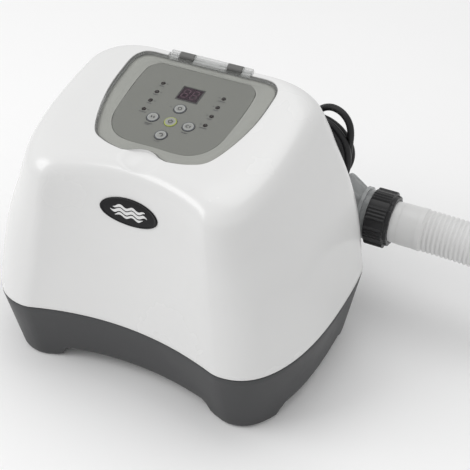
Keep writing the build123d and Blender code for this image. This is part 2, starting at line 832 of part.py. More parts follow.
export_step(cell_socket.part, "parts/cell_socket.step")
export_step(cell_saddles.part, "parts/cell_saddles.step")
export_step(saddle_screws.part, "parts/saddle_screws.step")
export_step(union_nut_right.part, "parts/union_nut_right.step")
export_step(union_nut_left.part, "parts/union_nut_left.step")
export_step(port_gaskets.part, "parts/port_gaskets.step")
export_step(board_standoffs.part, "parts/board_standoffs.step")
export_step(power_board.part, "parts/power_board.step")
export_step(heat_sink.part, "parts/heat_sink.step")
export_step(terminal_block.part, "parts/terminal_block.step")
export_step(transformer.part, "parts/transformer.step")
export_step(cord_gland.part, "parts/cord_gland.step")
export_step(power_cord_coil.part, "parts/power_cord_coil.step")
export_step(power_cord_lead.part, "parts/power_cord_lead.step")
export_step(power_cord_tail.part, "parts/power_cord_tail.step")
export_step(cord_tie.part, "parts/cord_tie.step")
export_step(plug_body.part, "parts/plug_body.step")
export_step(plug_pins.part, "parts/plug_pins.step")
export_step(hose_cuff.part, "parts/hose_cuff.step")
export_step(hose_run.part, "parts/hose_run.step")
export_step(hose_end_cuff.part, "parts/hose_end_cuff.step")
print("nodes", len(os.listdir("parts")))
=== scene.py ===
from math import cos, exp, hypot, pi, radians, sin, sqrt

import bmesh
import bpy
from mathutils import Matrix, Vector
from mathutils.bvhtree import BVHTree


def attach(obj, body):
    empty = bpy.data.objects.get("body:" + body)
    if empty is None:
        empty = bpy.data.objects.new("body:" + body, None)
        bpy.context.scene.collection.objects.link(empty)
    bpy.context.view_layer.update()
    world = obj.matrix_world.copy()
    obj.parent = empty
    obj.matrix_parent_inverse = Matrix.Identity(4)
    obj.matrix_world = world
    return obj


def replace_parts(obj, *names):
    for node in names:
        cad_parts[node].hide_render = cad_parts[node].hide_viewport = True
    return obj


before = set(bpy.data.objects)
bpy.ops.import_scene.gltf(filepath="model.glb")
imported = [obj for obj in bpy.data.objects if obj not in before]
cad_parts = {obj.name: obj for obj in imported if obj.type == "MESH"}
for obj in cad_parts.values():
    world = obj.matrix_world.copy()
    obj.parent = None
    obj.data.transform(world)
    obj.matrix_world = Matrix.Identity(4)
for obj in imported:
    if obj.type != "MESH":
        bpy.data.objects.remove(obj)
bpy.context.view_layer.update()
scene = bpy.context.scene

# Sizes are in millimetres, in the frame of the CAD model, and become metres in the helpers below.
MM = 0.001
panel_y = -33.2
panel_z = 251.0
panel_slope = 10.96
panel_lean = radians(panel_slope)
lid_face = 4.5
part_z = 80.0
cell_y = 140 + panel_y
cell_z = 106.0
spigot_end = 173.0
nut_start = 156.4
nut_end = 181.5
cuff_r = 22.0
cuff_end = 213.8
cord_r = 3.5
gland_x = 30.0
gland_y = 98.2 + panel_y
gland_z = 196.0
coil_x = 98.0
coil_y = 115.6 + panel_y
coil_z = 183.8


def metres(x, y, z):
    return Vector((x, y, z)) * MM


# -------------------------------- camera
camera_lens = 79.66
camera_at = (406.91, -684.11 + panel_y, 767.4)
camera_down = 39.01
camera_turn = 26.35


def add_camera():
    """The photograph's camera, worked out from the panel and the outline."""
    data = bpy.data.cameras.new("camera")
    data.sensor_width = 36.0
    data.lens = camera_lens
    data.clip_end = 20.0
    camera = bpy.data.objects.new("camera", data)
    camera.location = metres(*camera_at)
    camera.rotation_euler = (radians(90 - camera_down), 0.0, radians(camera_turn))
    scene.collection.objects.link(camera)
    scene.camera = camera


add_camera()


# -------------------------------- materials
def new_node(tree, kind, values):
    """A shader node with some of its inputs set."""
    node = tree.nodes.new("ShaderNode" + kind)
    for socket, value in values.items():
        node.inputs[socket].default_value = value
    return node


def link_value(tree, source, low, high, target):
    """Spreads the middle of a noise between low and high and feeds it to a socket."""
    spread = new_node(tree, "MapRange", {"From Min": 0.3, "From Max": 0.7, "To Min": low,
                                         "To Max": high})
    spread.interpolation_type = "SMOOTHSTEP"
    tree.links.new(source, spread.inputs["Value"])
    tree.links.new(spread.outputs["Result"], target)


def moulded(name, colour, rough, shade=0.03, rough_spread=0.05, patch=14.0, grain=1500.0,
            grain_depth=0.02, wave=0.0, wear=0.0, coat=0.0, metallic=0.0, shine=0.5, alpha=None):
    """A plastic, rubber or metal surface: patchy shade, uneven gloss, fine grain and worn edges.

    alpha is how solid it looks where it faces the eye and where it turns away."""
    material = bpy.data.materials.new(name)
    material.use_nodes = True
    tree = material.node_tree
    bsdf = tree.nodes["Principled BSDF"]
    bsdf.inputs["Metallic"].default_value = metallic
    bsdf.inputs["Coat Weight"].default_value = coat
    bsdf.inputs["Coat Roughness"].default_value = 0.08
    bsdf.inputs["IOR"].default_value = 1.48
    bsdf.inputs["Specular IOR Level"].default_value = shine
    place = tree.nodes.new("ShaderNodeTexCoord").outputs["Object"]

    clouds = new_node(tree, "TexNoise", {"Scale": patch, "Detail": 4.0})
    tree.links.new(place, clouds.inputs["Vector"])
    ramp = tree.nodes.new("ShaderNodeValToRGB")
    ramp.color_ramp.interpolation = "EASE"
    for i, position, factor in ((0, 0.3, 1 - shade), (1, 0.7, 1 + shade)):
        ramp.color_ramp.elements[i].position = position
        ramp.color_ramp.elements[i].color = [min(1, c * factor) for c in colour] + [1]
    tree.links.new(clouds.outputs["Fac"], ramp.inputs["Fac"])
    tint = ramp.outputs["Color"]
    if wear:
        edges = tree.nodes.new("ShaderNodeNewGeometry").outputs["Pointiness"]
        pick = new_node(tree, "MapRange", {"From Min": 0.52, "From Max": 0.60, "To Max": wear})
        tree.links.new(edges, pick.inputs["Value"])
        mix = tree.nodes.new("ShaderNodeMix")
        mix.data_type = "RGBA"
        tree.links.new(pick.outputs["Result"], mix.inputs["Factor"])
        tree.links.new(tint, mix.inputs["A"])
        mix.inputs["B"].default_value = [min(1, c * 2.2 + 0.03) for c in colour] + [1]
        tint = mix.outputs["Result"]
    tree.links.new(tint, bsdf.inputs["Base Color"])
    link_value(tree, clouds.outputs["Fac"], rough - rough_spread, rough + rough_spread,
               bsdf.inputs["Roughness"])

    grains = new_node(tree, "TexNoise", {"Scale": grain, "Detail": 2.0})
    tree.links.new(place, grains.inputs["Vector"])
    bump = new_node(tree, "Bump", {"Strength": 0.5, "Distance": grain_depth * MM})
    tree.links.new(grains.outputs["Fac"], bump.inputs["Height"])
    normal = bump.outputs["Normal"]
    if wave:
        slow = new_node(tree, "TexNoise", {"Scale": 26.0, "Detail": 1.0})
        tree.links.new(place, slow.inputs["Vector"])
        swell = new_node(tree, "Bump", {"Strength": 0.5, "Distance": wave * MM})
        tree.links.new(slow.outputs["Fac"], swell.inputs["Height"])
        tree.links.new(normal, swell.inputs["Normal"])
        normal = swell.outputs["Normal"]
    tree.links.new(normal, bsdf.inputs["Normal"])
    if alpha is not None:
        facing = new_node(tree, "LayerWeight", {"Blend": 0.35})
        film = new_node(tree, "MapRange", {"To Min": alpha[0], "To Max": alpha[1]})
        tree.links.new(facing.outputs["Facing"], film.inputs["Value"])
        tree.links.new(film.outputs["Result"], bsdf.inputs["Alpha"])
    return material


shell_white = moulded("shell_white", (0.73, 0.73, 0.726), 0.25, shade=0.006, rough_spread=0.03,
                      patch=9, grain=900, grain_depth=0.004, wave=0.035, coat=0.2)
base_grey = moulded("base_grey", (0.052, 0.053, 0.055), 0.46, shade=0.06, patch=20, grain=2200,
                    grain_depth=0.05, wear=0.25, shine=0.35)
hinge_grey = moulded("hinge_grey", (0.085, 0.085, 0.082), 0.5, shade=0.06, grain=2600, wear=0.3)
bezel_grey = moulded("bezel_grey", (0.335, 0.34, 0.315), 0.42, shade=0.02, patch=30, grain=2400,
                     grain_depth=0.03)
film_grey = moulded("film_grey", (0.178, 0.182, 0.165), 0.5, shade=0.02, patch=35, grain=3200,
                    grain_depth=0.03)
legend_grey = moulded("legend_grey", (0.045, 0.045, 0.05), 0.5, shade=0.1, grain=3000)
key_face = moulded("key_face", (0.30, 0.305, 0.29), 0.38, patch=60, grain=3000)
key_ring = moulded("key_ring", (0.36, 0.37, 0.36), 0.35, patch=60, grain=3000)
key_line = moulded("key_line", (0.075, 0.08, 0.09), 0.4, shade=0.05, patch=60, grain=3000)
key_green = moulded("key_green", (0.36, 0.41, 0.09), 0.35, shade=0.04, patch=60, grain=3000)
lamp_dark = moulded("lamp_dark", (0.018, 0.012, 0.012), 0.25, shade=0.1, patch=200, grain=2000,
                    grain_depth=0.004, shine=0.3)
window_dark = moulded("window_dark", (0.020, 0.007, 0.016), 0.2, shade=0.12, patch=90,
                      grain=1200, grain_depth=0.003, shine=0.12)
window_rim = moulded("window_rim", (0.045, 0.045, 0.045), 0.4, shade=0.06, patch=90)
digit_dark = moulded("digit_dark", (0.075, 0.030, 0.052), 0.3, shade=0.05, patch=90)
lid_clear = moulded("lid_clear", (0.30, 0.305, 0.295), 0.08, shade=0.01, grain=300,
                    grain_depth=0.002, shine=0.3, alpha=(0.01, 0.12))
# The lid's edge faces: the same clear grey, made far more solid. This is painted shade for the dark
# look of clear plastic seen edge on.
lid_edge_painted_shade = moulded("lid_edge_painted_shade", (0.29, 0.295, 0.285), 0.12, shade=0.05, grain=400,
                   grain_depth=0.003, coat=0.4, alpha=(0.5, 0.85))
barrel_clear = moulded("barrel_clear", (0.60, 0.61, 0.60), 0.12, grain=400,
                       grain_depth=0.003, coat=0.5, alpha=(0.28, 0.75))
badge_black = moulded("badge_black", (0.006, 0.006, 0.007), 0.2, shade=0.1, patch=40, grain=900,
                      grain_depth=0.003, shine=0.25)
badge_silver = moulded("badge_silver", (0.72, 0.72, 0.72), 0.28, shade=0.04, patch=80,
                       grain=2500, grain_depth=0.008)
cell_grey = moulded("cell_grey", (0.30, 0.31, 0.31), 0.24, shade=0.07, patch=30, grain=900,
                    wear=0.4, coat=0.3, alpha=(0.66, 0.95))
nut_black = moulded("nut_black", (0.018, 0.018, 0.019), 0.33, shade=0.15, patch=50, grain=1900,
                    grain_depth=0.03, wear=0.22, shine=0.35)
hose_white = moulded("hose_white", (0.73, 0.73, 0.725), 0.36, shade=0.012, rough_spread=0.04,
                     patch=22, grain=1300, grain_depth=0.012)
cord_black = moulded("cord_black", (0.013, 0.013, 0.014), 0.42, shade=0.12, rough_spread=0.06,
                     patch=60, grain=2600, grain_depth=0.03, shine=0.35)
dark_plastic = moulded("dark_plastic", (0.03, 0.03, 0.032), 0.45, shade=0.08, grain=2200, wear=0.2)
steel = moulded("steel", (0.55, 0.55, 0.56), 0.32, shade=0.05, patch=120, grain=2500,
                grain_depth=0.01, wear=0.2, metallic=1.0)
titanium = moulded("titanium", (0.20, 0.20, 0.21), 0.5, shade=0.1, patch=90, grain=3000,
                   metallic=1.0)
aluminium = moulded("aluminium", (0.66, 0.66, 0.67), 0.38, shade=0.04, patch=80, metallic=1.0)
board_green = moulded("board_green", (0.02, 0.12, 0.045), 0.35, shade=0.1, patch=120, grain=1800)
gasket_black = moulded("gasket_black", (0.02, 0.02, 0.02), 0.6, shade=0.1, grain=2200)


# -------------------------------- mesh helpers
def add_piece(name, form, materials, body="housing", paint=None, sharp=38):
    """A mesh from points in millimetres and faces. paint holds one material number per face."""
    points, faces = form
    mesh = bpy.data.meshes.new(name)
    mesh.from_pydata([Vector(p) * MM for p in points], [], faces)
    if paint:
        mesh.polygons.foreach_set("material_index", paint)
    form = bmesh.new()
    form.from_mesh(mesh)
    bmesh.ops.remove_doubles(form, verts=form.verts, dist=0.002 * MM)
    bmesh.ops.recalc_face_normals(form, faces=form.faces)
    form.to_mesh(mesh)
    form.free()
    mesh.polygons.foreach_set("use_smooth", [True] * len(mesh.polygons))
    mesh.set_sharp_from_angle(angle=radians(sharp))
    for material in materials:
        mesh.materials.append(material)
    piece = bpy.data.objects.new(name, mesh)
    scene.collection.objects.link(piece)
    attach(piece, body)
    return piece


def grid_faces(rows, columns, start=0):
    """Quads between successive rows of a grid, with each row's end joined to its start."""
    faces = []
    for i in range(rows - 1):
        for j in range(columns):
            a = start + i * columns + j
            b = start + i * columns + (j + 1) % columns
            faces.append((a, b, b + columns, a + columns))
    return faces


def frame_about(axis):
    """Two directions square to an axis, and the axis itself, each of length 1."""
    w = Vector(axis).normalized()
    u = w.cross(Vector((0, 0, 1)) if abs(w.z) < 0.9 else Vector((0, 1, 0))).normalized()
    return u, w.cross(u), w


def angles(steps):
    """Evenly spaced angles round a full turn."""
    return [2 * pi * k / steps for k in range(steps)]


def lathe_form(profile, origin, axis, steps=64, closed=True, ribs=None):
    """Turns a profile of (distance along the axis, radius). ribs(angle, along) adds to the radius."""
    u, v, w = frame_about(axis)
    rows = profile + [profile[0]] if closed else profile
    points = []
    for along, r in rows:
        for a in angles(steps):
            radius = r + (ribs(a, along) if ribs and r else 0.0)
            points.append(Vector(origin) + w * along + (u * cos(a) + v * sin(a)) * radius)
    return points, grid_faces(len(rows), steps)


def lathe(name, profile, origin, axis, materials, body="housing", steps=64, closed=True,
          ribs=None, sharp=38, band=None):
    """band(profile index) picks the material of the faces after that profile point."""
    form = lathe_form(profile, origin, axis, steps, closed, ribs)
    paint = [band(i // steps) for i in range(len(form[1]))] if band else None
    return add_piece(name, form, materials, body, paint, sharp)


def join_forms(forms):
    """One list of points and faces from several."""
    points = []
    faces = []
    for some_points, some_faces in forms:
        shift = len(points)
        points.extend(some_points)
        faces.extend(tuple(i + shift for i in face) for face in some_faces)
    return points, faces


def rounded(corners, radius, steps=4):
    """A closed profile with each corner turned into a small arc."""
    result = []
    count = len(corners)
    for i, corner in enumerate(corners):
        before = Vector(corners[i - 1])
        here = Vector(corner)
        after = Vector(corners[(i + 1) % count])
        cut = min(radius, (before - here).length / 2.2, (after - here).length / 2.2)
        a = here + (before - here).normalized() * cut
        b = here + (after - here).normalized() * cut
        for k in range(steps + 1):
            f = k / steps
            p = a * (1 - f) ** 2 + here * 2 * f * (1 - f) + b * f**2
            result.append((p.x, p.y))
    return result


def through(points, before, after, steps=6):
    """A smooth curve through points (Catmull-Rom), with neighbours before and after them."""
    chain = [Vector(before)] + [Vector(p) for p in points] + [Vector(after)]
    result = []
    for i in range(1, len(chain) - 2):
        p0, p1, p2, p3 = chain[i - 1 : i + 3]
        for k in range(steps):
            f = k / steps
            result.append(0.5 * (2 * p1 + (p2 - p0) * f + (2 * p0 - 5 * p1 + 4 * p2 - p3) * f**2
                                 + (3 * p1 - 3 * p2 + p3 - p0) * f**3))
    result.append(chain[-2])
    return result


def measured(line):
    """The running length at each point of a line."""
    runs = [0.0]
    for a, b in zip(line, line[1:]):
        runs.append(runs[-1] + (b - a).length)
    return runs


def along(line, runs, distance):
    """The point of a line at a running length."""
    distance = max(0.0, min(runs[-1], distance))
    low, high = 0, len(runs) - 1
    while high - low > 1:
        middle = (low + high) // 2
        low, high = (middle, high) if runs[middle] <= distance else (low, middle)
    share = (distance - runs[low]) / max(1e-9, runs[high] - runs[low])
    return line[low].lerp(line[high], share)


def rectangle(x, y, wide, tall):
    """The corners of a rectangle about a place."""
    return [(x + a * wide / 2, y + b * tall / 2) for a, b in ((-1, -1), (1, -1), (1, 1), (-1, 1))]


def squared(value, power):
    """A cosine or sine drawn out towards a square."""
    return abs(value) ** power * (1 if value > 0 else -1)


def box_form(low, high, place, round_by=0.4):
    """A block with rounded upright edges and top, in the coordinates that place() turns into space."""
    cx, cy = (low[0] + high[0]) / 2, (low[1] + high[1]) / 2
    outline = rounded([(low[0], low[1]), (high[0], low[1]), (high[0], high[1]), (low[0], high[1])],
                      round_by, 3)
    edge = min(round_by, (high[2] - low[2]) / 2.2)
    rows = [(0.0, low[2]), (0.0, high[2] - edge), (0.3 * edge, high[2] - 0.3 * edge),
            (edge, high[2])]
    points = []
    for inset, z in rows:
        for x, y in outline:
            fx = 1 - inset / max(0.01, abs(high[0] - low[0]) / 2)
            fy = 1 - inset / max(0.01, abs(high[1] - low[1]) / 2)
            points.append(place(cx + (x - cx) * fx, cy + (y - cy) * fy, z))
    count = len(outline)
    faces = grid_faces(len(rows), count)
    faces.append(tuple(range(count - 1, -1, -1)))
    faces.append(tuple(range(3 * count, 4 * count)))
    return points, faces


# -------------------------------- cords
def route_line(name, route, radius=0.0):
    """A curve of one NURBS spline with the route's points as its control points."""
    data = bpy.data.curves.new(name, "CURVE")
    data.dimensions = "3D"
    data.resolution_u = 10
    data.bevel_depth = radius * MM
    data.bevel_resolution = 6
    data.use_fill_caps = True
    spline = data.splines.new("NURBS")
    spline.points.add(len(route) - 1)
    for control, point in zip(spline.points, route):
        control.co = (*metres(*point), 1.0)
    spline.order_u = 3
    spline.use_endpoint_u = True
    curve = bpy.data.objects.new(name, data)
    scene.collection.objects.link(curve)
    return curve


lead_route = [
    (gland_x, gland_y + 11, gland_z),
    (gland_x, gland_y + 34, gland_z),
    (gland_x + 18, gland_y + 50, gland_z + 1),
    (gland_x + 42, gland_y + 47, gland_z + 8),
    (gland_x + 61, gland_y + 37, gland_z + 21),
    (gland_x + 76.5, gland_y + 30, gland_z + 35),
    (gland_x + 92.8, gland_y + 25, gland_z + 35),
    (gland_x + 104, gland_y + 21, gland_z + 23.3),
    (gland_x + 104.4, gland_y + 18.4, gland_z),
    (gland_x + 103.6, gland_y + 17.6, gland_z - 24),
]
tail_route = [
    (coil_x - 8, cell_y - 17, cell_z + 41.8),
    (coil_x - 36, cell_y - 6, cell_z + 47.5),
    (coil_x - 64, cell_y + 13, cell_z + 49.5),
    (coil_x - 88, cell_y + 36, cell_z + 39),
    (coil_x - 104, cell_y + 55, cell_z + 12),
    (coil_x - 112, cell_y + 64, cell_z - 26),
    (coil_x - 117.5, cell_y + 68, cell_z - 70),
    (coil_x - 145, cell_y + 71, cell_z - 102.2),
    (coil_x - 188, cell_y + 72.5, cell_z - 102.2),
]
# Each turn of the bundle: its radius and its place across the bundle
coil_turns = [(38.6, 0.5), (38.8, -6.8), (32.2, -9.0), (31.6, -2.0), (31.8, 5.0), (33.0, 11.8),
              (38.4, 8.0)]
coil_count = 6.2
coil_start = radians(-18.3)
turn_steps = 16


def coil_route():
    """The bundle, turn after turn; each turn moves to the next one's place in its last third."""
    points = []
    steps = round(coil_count * turn_steps)
    for i in range(1, steps):
        turn = i / turn_steps
        number = int(turn)
        share = max(0.0, (turn - number - 0.7) / 0.3)
        share = share * share * (3 - 2 * share)
        r0, y0 = coil_turns[number]
        r1, y1 = coil_turns[min(number + 1, len(coil_turns) - 1)]
        angle = coil_start - 2 * pi * turn
        radius = r0 + (r1 - r0) * share + 0.9 * sin(angle * 2 + number * 1.9)
        points.append((coil_x + radius * cos(angle), coil_y + y0 + (y1 - y0) * share,
                       coil_z + radius * sin(angle)))
    return points


power_cord = route_line("power_cord", lead_route + coil_route() + tail_route, cord_r)
power_cord.data.materials.append(cord_black)
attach(power_cord, "housing")
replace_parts(power_cord, "power_cord_lead", "power_cord_coil", "power_cord_tail")

hose_route = [
    (cuff_end, cell_y, cell_z),
    (cuff_end + 84, cell_y, cell_z),
    (cuff_end + 191, cell_y - 1, cell_z - 22),
    (cuff_end + 286, cell_y - 4, cell_z - 60),
    (cuff_end + 376, cell_y - 7.4, 22.6),
    (cuff_end + 518, cell_y - 8.8, 22.4),
    (cuff_end + 627, cell_y - 88, 22.4),
    (cuff_end + 669, cell_y - 217, 22.4),
    (cuff_end + 627, cell_y - 345.5, 22.4),
    (cuff_end + 518, cell_y - 425, 22.4),
    (cuff_end + 380, cell_y - 421, 22.4),
    (cuff_end + 287, cell_y - 421, 22.4),
]
hose_pitch = 4.8
hose_groove = 1.9


def read_route(route):
    """The points of the route's own smooth line, in millimetres."""
    curve = route_line("route", route)
    mesh = bpy.data.meshes.new_from_object(curve)
    line = [v.co / MM for v in mesh.vertices]
    bpy.data.objects.remove(curve)
    bpy.data.meshes.remove(mesh)
    return line


def hose_radius(distance):
    """The corrugations: one groove in each pitch."""
    phase = (distance / hose_pitch) % 1.0
    groove = exp(-(((phase - 0.5) / 0.2) ** 2))
    return cuff_r - 0.15 - hose_groove * groove


def corrugated_hose():
    """The hose and the centres of its rings."""
    line = read_route(hose_route)
    runs = measured(line)
    count = round(runs[-1] / (hose_pitch / 7))
    centres = [along(line, runs, runs[-1] * i / count) for i in range(count + 1)]
    steps = 36
    points = []
    u = Vector((0, 0, 1))
    for i, centre in enumerate(centres):
        ahead = centres[min(i + 1, count)] - centres[max(i - 1, 0)]
        w = ahead.normalized()
        u = (u - w * u.dot(w)).normalized()
        v = w.cross(u)
        r = hose_radius(runs[-1] * i / count)
        for a in angles(steps):
            points.append(centre + (u * cos(a) + v * sin(a)) * r)
    piece = add_piece("hose", (points, grid_faces(count + 1, steps)), [hose_white],
                      sharp=80)
    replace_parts(piece, "hose_run")
    return piece, centres


hose, hose_line = corrugated_hose()

cuff_profile = rounded(
    [(2.0, 19.0), (2.0, 25.4), (5.0, 25.4), (5.0, 21.6), (16.0, 21.6), (17.0, 21.9),
     (33.0, 21.9), (36.0, 22.3), (40.8, 22.3), (40.8, 19.0)], 0.5)
hose_cuff = lathe("hose_cuff_near", cuff_profile, (spigot_end, cell_y, cell_z), (1, 0, 0),
                  [hose_white], steps=72)
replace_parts(hose_cuff, "hose_cuff")

far_at = Vector(hose_route[-1])
far_axis = far_at - Vector(hose_route[-2])
far_profile = rounded(
    [(0.0, 19.0), (0.0, 22.2), (5.0, 22.2), (8.0, 21.8), (36.0, 21.6), (37.0, 22.4),
     (42.0, 22.4), (42.0, 19.4)], 0.6)
hose_far = lathe("hose_cuff_far", far_profile, far_at, far_axis, [hose_white],
                 steps=72)
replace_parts(hose_far, "hose_end_cuff")


# -------------------------------- plug, gland and tie
plug_at = Vector(tail_route[-1])


def plug_shape():
    """A moulded plug: a smooth tapered boot that grows into a rounded body."""
    w = Vector((-1, 0.05, 0)).normalized()
    u = Vector((-w.y, w.x, 0))
    centre_z = 13.0
    stations = [(0, 4.6, 4.6), (4, 5.4, 5.4), (14, 7.6, 7.2), (17, 13.2, 11.2), (20, 14.6, 12.6),
                (34, 14.8, 12.9), (48, 14.4, 12.6), (51.4, 13.0, 11.4), (52.4, 9.0, 8.0)]
    steps = 40
    points = []
    for distance, half_wide, half_high in stations:
        lift = (distance / 17.0 if distance < 17 else 1.0) * (centre_z - plug_at.z)
        square = 0.62 if distance > 15 else 1.0
        for a in angles(steps):
            x, z = half_wide * squared(cos(a), square), half_high * squared(sin(a), square)
            points.append(plug_at + w * distance + u * x + Vector((0, 0, z + lift)))
    faces = grid_faces(len(stations), steps)
    faces.append(tuple(range(steps - 1, -1, -1)))
    faces.append(tuple(range(len(points) - steps, len(points))))
    return add_piece("plug", (points, faces), [cord_black])


plug = plug_shape()
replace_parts(plug, "plug_body")

boot_profile = [(-14, 3.4), (-14, 6.1), (2, 6.1), (2, 9.0), (2.6, 9.4), (5.4, 9.4), (6.0, 9.0),
                (6.2, 7.4), (7.4, 7.0)]
for step in range(7):
    base = 8.0 + 2.8 * step
    boot_profile += [(base, 6.6 - 0.34 * step), (base + 1.8, 6.4 - 0.34 * step),
                     (base + 2.0, 5.6 - 0.3 * step), (base + 2.7, 5.6 - 0.3 * step)]
boot_profile += [(28.4, 4.2), (28.8, 3.6)]
gland = lathe("strain_relief", boot_profile, (gland_x, gland_y, gland_z), (0, 1, 0),
              [nut_black], steps=48)
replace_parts(gland, "cord_gland")


def tie_shape():
    """A flat band round the bottom of the bundle, with its small lock."""
    half_r, half_y, half_x = 9.6, 16.0, 2.4
    steps = 48
    points = []
    for wide, thick in ((-half_x, 0.0), (half_x, 0.0), (half_x, 1.1), (-half_x, 1.1)):
        for a in angles(steps):
            y = (half_y + thick) * squared(cos(a), 0.7)
            z = (half_r + thick) * squared(sin(a), 0.7)
            points.append((coil_x + 1 + wide, coil_y + 1.5 + y, coil_z - 35.6 + z))
    ends = [(j, 3 * steps + j, 3 * steps + (j + 1) % steps, (j + 1) % steps)
            for j in range(steps)]
    band = (points, grid_faces(4, steps) + ends)
    lock = box_form((-3.4, 15.4, -3.2), (3.4, 20.0, 2.8),
                    lambda x, y, z: (coil_x + 1 + x, coil_y + y, coil_z - 35.6 + z), 0.8)
    return add_piece("cord_tie_band", join_forms([band, lock]), [nut_black])


tie = tie_shape()
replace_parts(tie, "cord_tie")


# -------------------------------- housing outline
# Height, slope, half width, crease x, crease y, mid-front y, rear y, rear corner radius, widest y
housing_levels = [
    (part_z, 0, 173, 102, -113, -95, 104, 28, 41),
    (115, 2.6, 168.5, 96.5, -108, -89.5, 102, 28, 40),
    (150, 5.5, 162, 91.5, -103, -83.5, 100, 28, 38),
    (180, 8.2, 152, 88, -99.5, -79, 98, 28, 35),
    (205.6, panel_slope, 140.5, 85, -96, -75.5, 96, 29, 30),
    (220, panel_slope, 135, 83.2, -94, -73.3, 95.2, 30, 27),
    (231.6, panel_slope, 130, 81.5, -92, -71.5, 94.5, 31, 25),
    (239, panel_slope, 126.8, 80.5, -90, -70, 94, 32, 23),
    (245, panel_slope, 123.5, 79, -87, -68, 93, 33, 22),
    (250.6, panel_slope, 118.5, 76.5, -81, -65, 92, 37, 20),
    (253.6, panel_slope, 113.5, 73, -73.5, -61, 91, 41, 20),
    (255.1, panel_slope, 107, 69.5, -64, -56, 90, 43, 19),
    (255.6, panel_slope, 99, 66, -56, -51.5, 89, 44, 18),
]
foot_level = (0, 0, 160, 105.5, -97, -79, 96, 28, 41)
front_steps, crease_steps, side_steps, flank_steps, corner_steps = 22, 6, 24, 8, 14
slot_half = 44.5
slot_start = 84
slot_floor = -1.2
rear_x = [slot_half + 0.6, slot_half - 0.2, 30.0, 15.0, 0.0]


def level_half(level, inset=0.0):
    """Half of a level's outline, from its mid front round the right side to its mid rear."""
    half_wide, crease_x, crease_y, front_y, rear_y, corner_r, widest_y = level[2:]
    half_wide, crease_x, rear_y = half_wide - inset, crease_x - 0.3 * inset, rear_y - inset
    crease_y, front_y = crease_y + inset, front_y + inset
    edge = crease_x - 3.5
    first = radians(87.5)

    def scoop(x):
        return x, crease_y + (front_y - crease_y) * (1 - (x / crease_x) ** 2)

    def side(angle):
        return (crease_x + (half_wide - crease_x) * cos(angle) ** 0.8,
                widest_y + (crease_y - widest_y) * sin(angle) ** 0.8)

    half = [scoop(edge * i / front_steps) for i in range(front_steps)]
    a, b = Vector(scoop(edge)), Vector(side(first))
    corner = Vector((crease_x + 1.0, crease_y))
    for i in range(crease_steps):
        f = i / crease_steps
        p = a * (1 - f) ** 2 + corner * 2 * f * (1 - f) + b * f**2
        half.append((p.x, p.y))
    half += [side(first * (1 - i / side_steps)) for i in range(side_steps)]
    for i in range(flank_steps):
        f = i / flank_steps
        half.append((half_wide - 1.5 * f**2, widest_y + (rear_y - corner_r - widest_y) * f))
    start = half_wide - corner_r - 1.5
    for i in range(corner_steps):
        angle = pi / 2 * i / corner_steps
        half.append((start + corner_r * cos(angle), rear_y - corner_r + corner_r * sin(angle)))
    half += [(start + (rear_x[0] - start) * k / 3, rear_y) for k in range(3)]
    half += [(x, rear_y) for x in rear_x]
    return half


def full_ring(half):
    """A half outline with its mirror image."""
    return half + [(-x, y) for x, y in reversed(half[1:-1])]


def level_ring(level, inset=0.0, lift=0.0):
    """A level's outline on its own sloping plane, moved in and up."""
    z = level[0] + lift
    s = radians(level[1])
    return [Vector((x, panel_y + v * cos(s), z + v * sin(s)))
            for x, v in full_ring(level_half(level, inset))]


def smooth_levels(levels, steps):
    """The levels with more between them, on smooth curves through the given ones."""
    first = [2 * a - b for a, b in zip(levels[0], levels[1])]
    last = [2 * a - b for a, b in zip(levels[-1], levels[-2])]
    return [tuple(v) for v in through(levels, first, last, steps)]


# -------------------------------- panel plane and lid outline
def on_panel(x, t, h):
    """Across the panel, up its slope and out along its normal."""
    return Vector((x, panel_y + t * cos(panel_lean) - h * sin(panel_lean),
                   panel_z + t * sin(panel_lean) + h * cos(panel_lean)))


def from_panel(p):
    """The reverse of on_panel."""
    y, z = p.y - panel_y, p.z - panel_z
    return p.x, y * cos(panel_lean) + z * sin(panel_lean), z * cos(panel_lean) - y * sin(panel_lean)


lid_curve = [(0, -37.4), (8, -38.9), (16, -42.7), (25, -44.0), (44, -39.8), (58.5, -30.4),
             (69.6, -3.5), (76, 26), (77.5, 52), (76.6, 72), (70, 82.5), (60, 85.5)]
panel_curve = [(0, -29), (26, -29), (40, -25), (50, -15), (55.5, 0), (57.8, 30), (58, 55),
               (56, 68), (47, 76.3)]


def outline_half(curve, shares, grow):
    """Points at the given shares of a half outline's length, moved out by grow."""
    mirrored = (-curve[1][0], curve[1][1])
    line = through(curve, mirrored, (curve[-1][0] - 10, curve[-1][1]), 12)
    runs = measured(line)
    half = []
    for share in shares:
        d = share * runs[-1]
        p = along(line, runs, d)
        q = along(line, runs, d + 0.5) - along(line, runs, d - 0.5)
        n = Vector((q.y, -q.x)).normalized()
        half.append((max(0.0, p.x + n.x * grow), p.y + n.y * grow))
    half[0] = (0.0, half[0][1])
    return half


def outline_ring(curve, grow, count):
    """A whole outline, moved out by grow, with its straight rear in steps of its own."""
    rear = 6
    half = outline_half(curve, [i / count for i in range(count + 1)], grow)
    x_end, y_end = half[-1]
    half += [(x_end * (1 - k / rear), y_end) for k in range(1, rear + 1)]
    return full_ring(half)


def outline_rows(rows, curve, count):
    """A surface of rows, each an outline moved out by the first number at the second's height."""
    points = []
    for grow, h in rows:
        points += [on_panel(x, t, h) for x, t in outline_ring(curve, grow, count)]
    return points, len(outline_ring(curve, 0.0, count))


# -------------------------------- upper shell
recess_gap = 0.5
dish_at = (0.0, -51.0, lid_face + 35.0)
dish_r = 40.0


